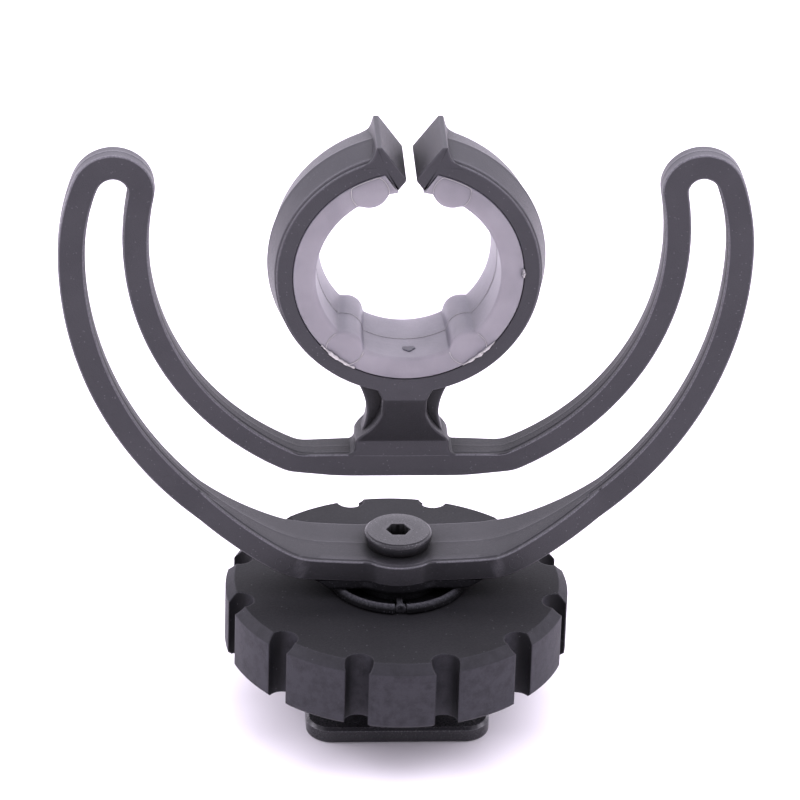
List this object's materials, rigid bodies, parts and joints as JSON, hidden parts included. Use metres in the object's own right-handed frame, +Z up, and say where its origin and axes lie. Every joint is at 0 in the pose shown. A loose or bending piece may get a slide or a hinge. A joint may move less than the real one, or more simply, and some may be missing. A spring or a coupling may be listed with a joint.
{
  "type": "microphone shock mount",
  "caption": "Lyre shock mount: springy double hoops carry a split, lined microphone ring above a lobed thumb wheel and an accessory-shoe foot.",
  "frame": {"origin": "centre of the shoe foot's underside", "axes": "+Z up through the stem, the lyre lies in the XZ plane, and the microphone's axis is along Y with the front towards -Y"},
  "size_m": [0.068, 0.0346, 0.0637],
  "materials": {
    "gloss_black": "glossy moulded",
    "turned_steel": "blackened, turned and threaded",
    "brass": "turned",
    "black_plastic": "satin moulded",
    "washer_steel": "stamped",
    "wheel_plastic": "matt, slightly rubbery",
    "black_steel": "blackened",
    "lyre_plastic": "satin moulded charcoal",
    "liner_rubber": "translucent milky grey"
  },
  "bodies": {
    "base": {"shoe_foot": "gloss_black", "stem": "turned_steel", "screw_bush": "brass", "tripod_bush": "brass", "turret_ring": "black_plastic", "lyre_saddle": "black_plastic", "captive_screw": "black_steel", "lyre": "lyre_plastic", "ring_liner": "liner_rubber"},
    "clamp_plate": {"pressure_plate": "black_plastic", "thrust_washer": "washer_steel"},
    "wheel": {"wheel_bush": "brass", "thumb_wheel": "wheel_plastic"}
  },
  "joints": [
    {"name": "clamp_lift", "type": "slide", "parent": "base", "child": "clamp_plate", "axis": [0, 0, 1], "range_m": [-0.0025, 0]},
    {"name": "wheel_turn", "type": "hinge", "parent": "clamp_plate", "child": "wheel", "pos_m": [0, 0, 0.01], "axis": [0, 0, 1], "range_deg": [-720, 0]}
  ],
  "couplings": [
    {"joint": "clamp_lift", "follows": "wheel_turn", "m_per_rad": 0.00019894}
  ]
}
